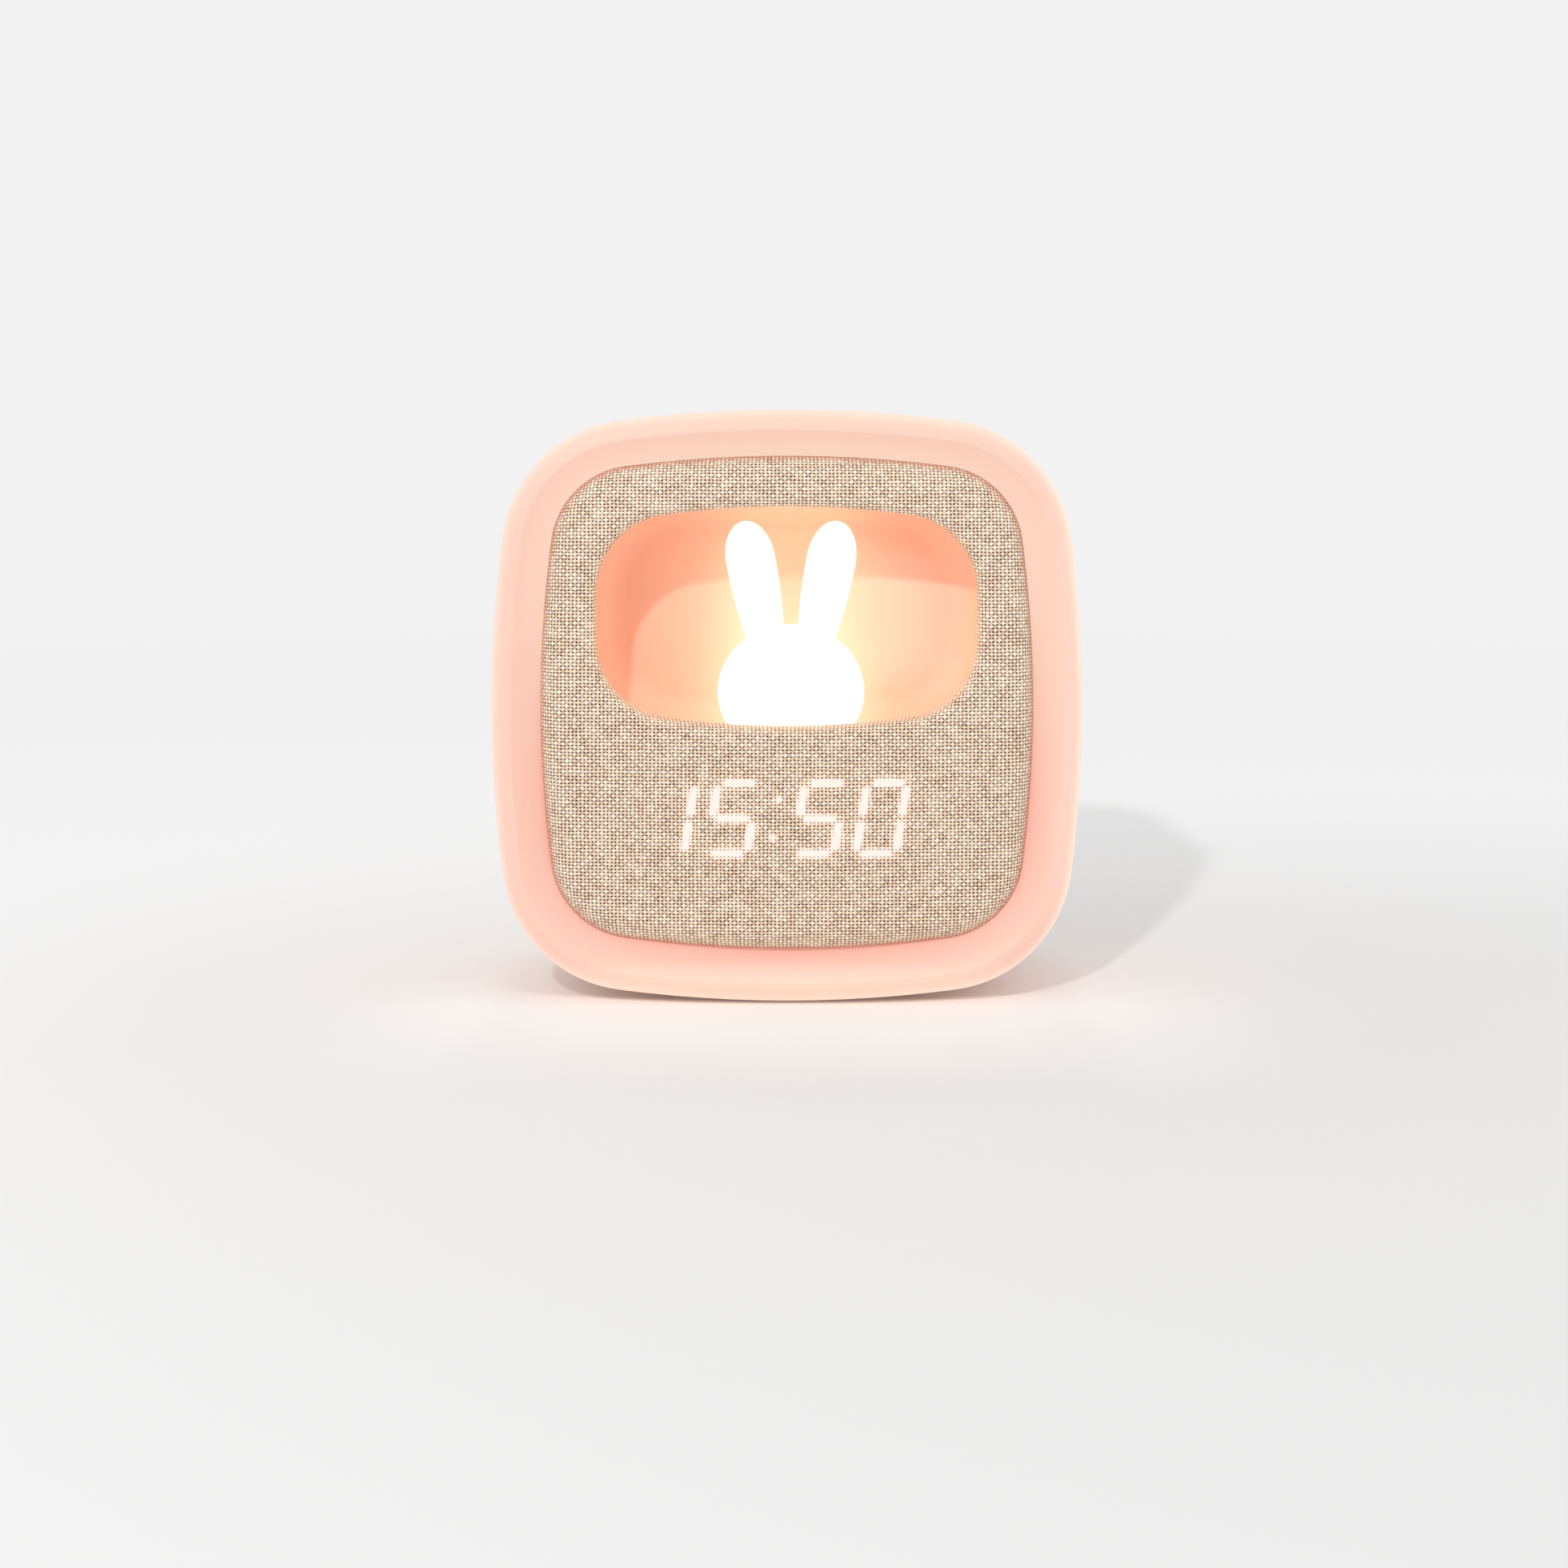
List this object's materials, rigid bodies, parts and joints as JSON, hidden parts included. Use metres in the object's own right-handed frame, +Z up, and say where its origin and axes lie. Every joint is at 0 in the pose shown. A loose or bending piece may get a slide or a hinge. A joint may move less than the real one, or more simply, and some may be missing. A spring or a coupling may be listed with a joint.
{
  "type": "bedside alarm clock",
  "caption": "Children's bedside alarm clock: soft-square housing, cloth front with LED digits, lit rabbit figure in a niche, rear buttons, speaker and battery bay.",
  "frame": {"origin": "centre of the bounding box seen from above, on the surface that the feet stand on", "axes": "+X to the right as seen from the front, +Y to the back, +Z up"},
  "size_m": [0.12, 0.0619, 0.1205],
  "materials": {
    "shell_plastic": "soft-touch matte",
    "carrier_plastic": "moulded",
    "cloth": "woven, two-tone thread",
    "niche_plastic": "matte",
    "figure_silicone": "translucent matte",
    "lamp_leds": "moulded lens",
    "block_plastic": "matte",
    "lit_bars": "clear resin",
    "unlit_bars": "clear resin",
    "display_leds": "moulded lens",
    "board": "solder mask",
    "chip_resin": "moulded",
    "can_metal": "drawn can",
    "capacitor_can": "sleeved can",
    "switch_plastic": "moulded",
    "button_plastic": "matte",
    "usb_steel": "formed sheet",
    "contact_steel": "nickel plated",
    "magnet": "plated",
    "cone_paper": "pressed pulp",
    "cell_jacket": "plain sleeve",
    "screw_steel": "zinc plated",
    "foot_rubber": "soft"
  },
  "bodies": {
    "housing": {"alarm_switch": "switch_plastic", "battery_cell_lower": "cell_jacket", "battery_cell_middle": "cell_jacket", "battery_cell_upper": "cell_jacket", "board_screws": "screw_steel", "body_shell": "shell_plastic", "colon_dots": "lit_bars", "contact_plates": "contact_steel", "contact_springs": "contact_steel", "controller_chip": "chip_resin", "cover_screws": "screw_steel", "crystal_can": "can_metal", "display_block": "block_plastic", "display_board": "board", "display_leds": "display_leds", "display_screws": "screw_steel", "fabric_panel": "cloth", "figure_light": "figure_silicone", "foot_left": "foot_rubber", "foot_right": "foot_rubber", "front_carrier": "carrier_plastic", "hour_tens": "lit_bars", "hour_units": "lit_bars", "lamp_board": "board", "lamp_leds": "lamp_leds", "lamp_screws": "screw_steel", "main_board": "board", "minute_tens": "lit_bars", "minute_units": "lit_bars", "niche_liner": "niche_plastic", "niche_screws": "screw_steel", "panel_screws": "screw_steel", "rear_cover": "shell_plastic", "speaker_basket": "contact_steel", "speaker_cone": "cone_paper", "speaker_magnet": "magnet", "supply_capacitor": "capacitor_can", "tact_switches": "switch_plastic", "unlit_bars": "unlit_bars", "usb_shell": "usb_steel", "usb_tongue": "chip_resin"},
    "set_button": {"button_set": "button_plastic"},
    "minus_button": {"button_minus": "button_plastic"},
    "plus_button": {"button_plus": "button_plastic"},
    "alarm_button": {"button_alarm": "button_plastic"},
    "light_button": {"button_light": "button_plastic"},
    "alarm_slide": {"alarm_switch_knob": "button_plastic"},
    "door": {"battery_door": "shell_plastic", "door_screw": "screw_steel"}
  },
  "joints": [
    {"name": "set_press", "type": "slide", "parent": "housing", "child": "set_button", "axis": [0, -1, 0], "range_m": [0, 0.0004], "stiffness_N_per_m": 400},
    {"name": "minus_press", "type": "slide", "parent": "housing", "child": "minus_button", "axis": [0, -1, 0], "range_m": [0, 0.0004], "stiffness_N_per_m": 400},
    {"name": "plus_press", "type": "slide", "parent": "housing", "child": "plus_button", "axis": [0, -1, 0], "range_m": [0, 0.0004], "stiffness_N_per_m": 400},
    {"name": "alarm_press", "type": "slide", "parent": "housing", "child": "alarm_button", "axis": [0, -1, 0], "range_m": [0, 0.0004], "stiffness_N_per_m": 400},
    {"name": "light_press", "type": "slide", "parent": "housing", "child": "light_button", "axis": [0, -1, 0], "range_m": [0, 0.0004], "stiffness_N_per_m": 400},
    {"name": "alarm_on_off", "type": "slide", "parent": "housing", "child": "alarm_slide", "axis": [1, 0, 0], "range_m": [0, 0.004]},
    {"name": "door_lift_off", "type": "slide", "parent": "housing", "child": "door", "axis": [0, 1, 0], "range_m": [0, 0.025]}
  ]
}
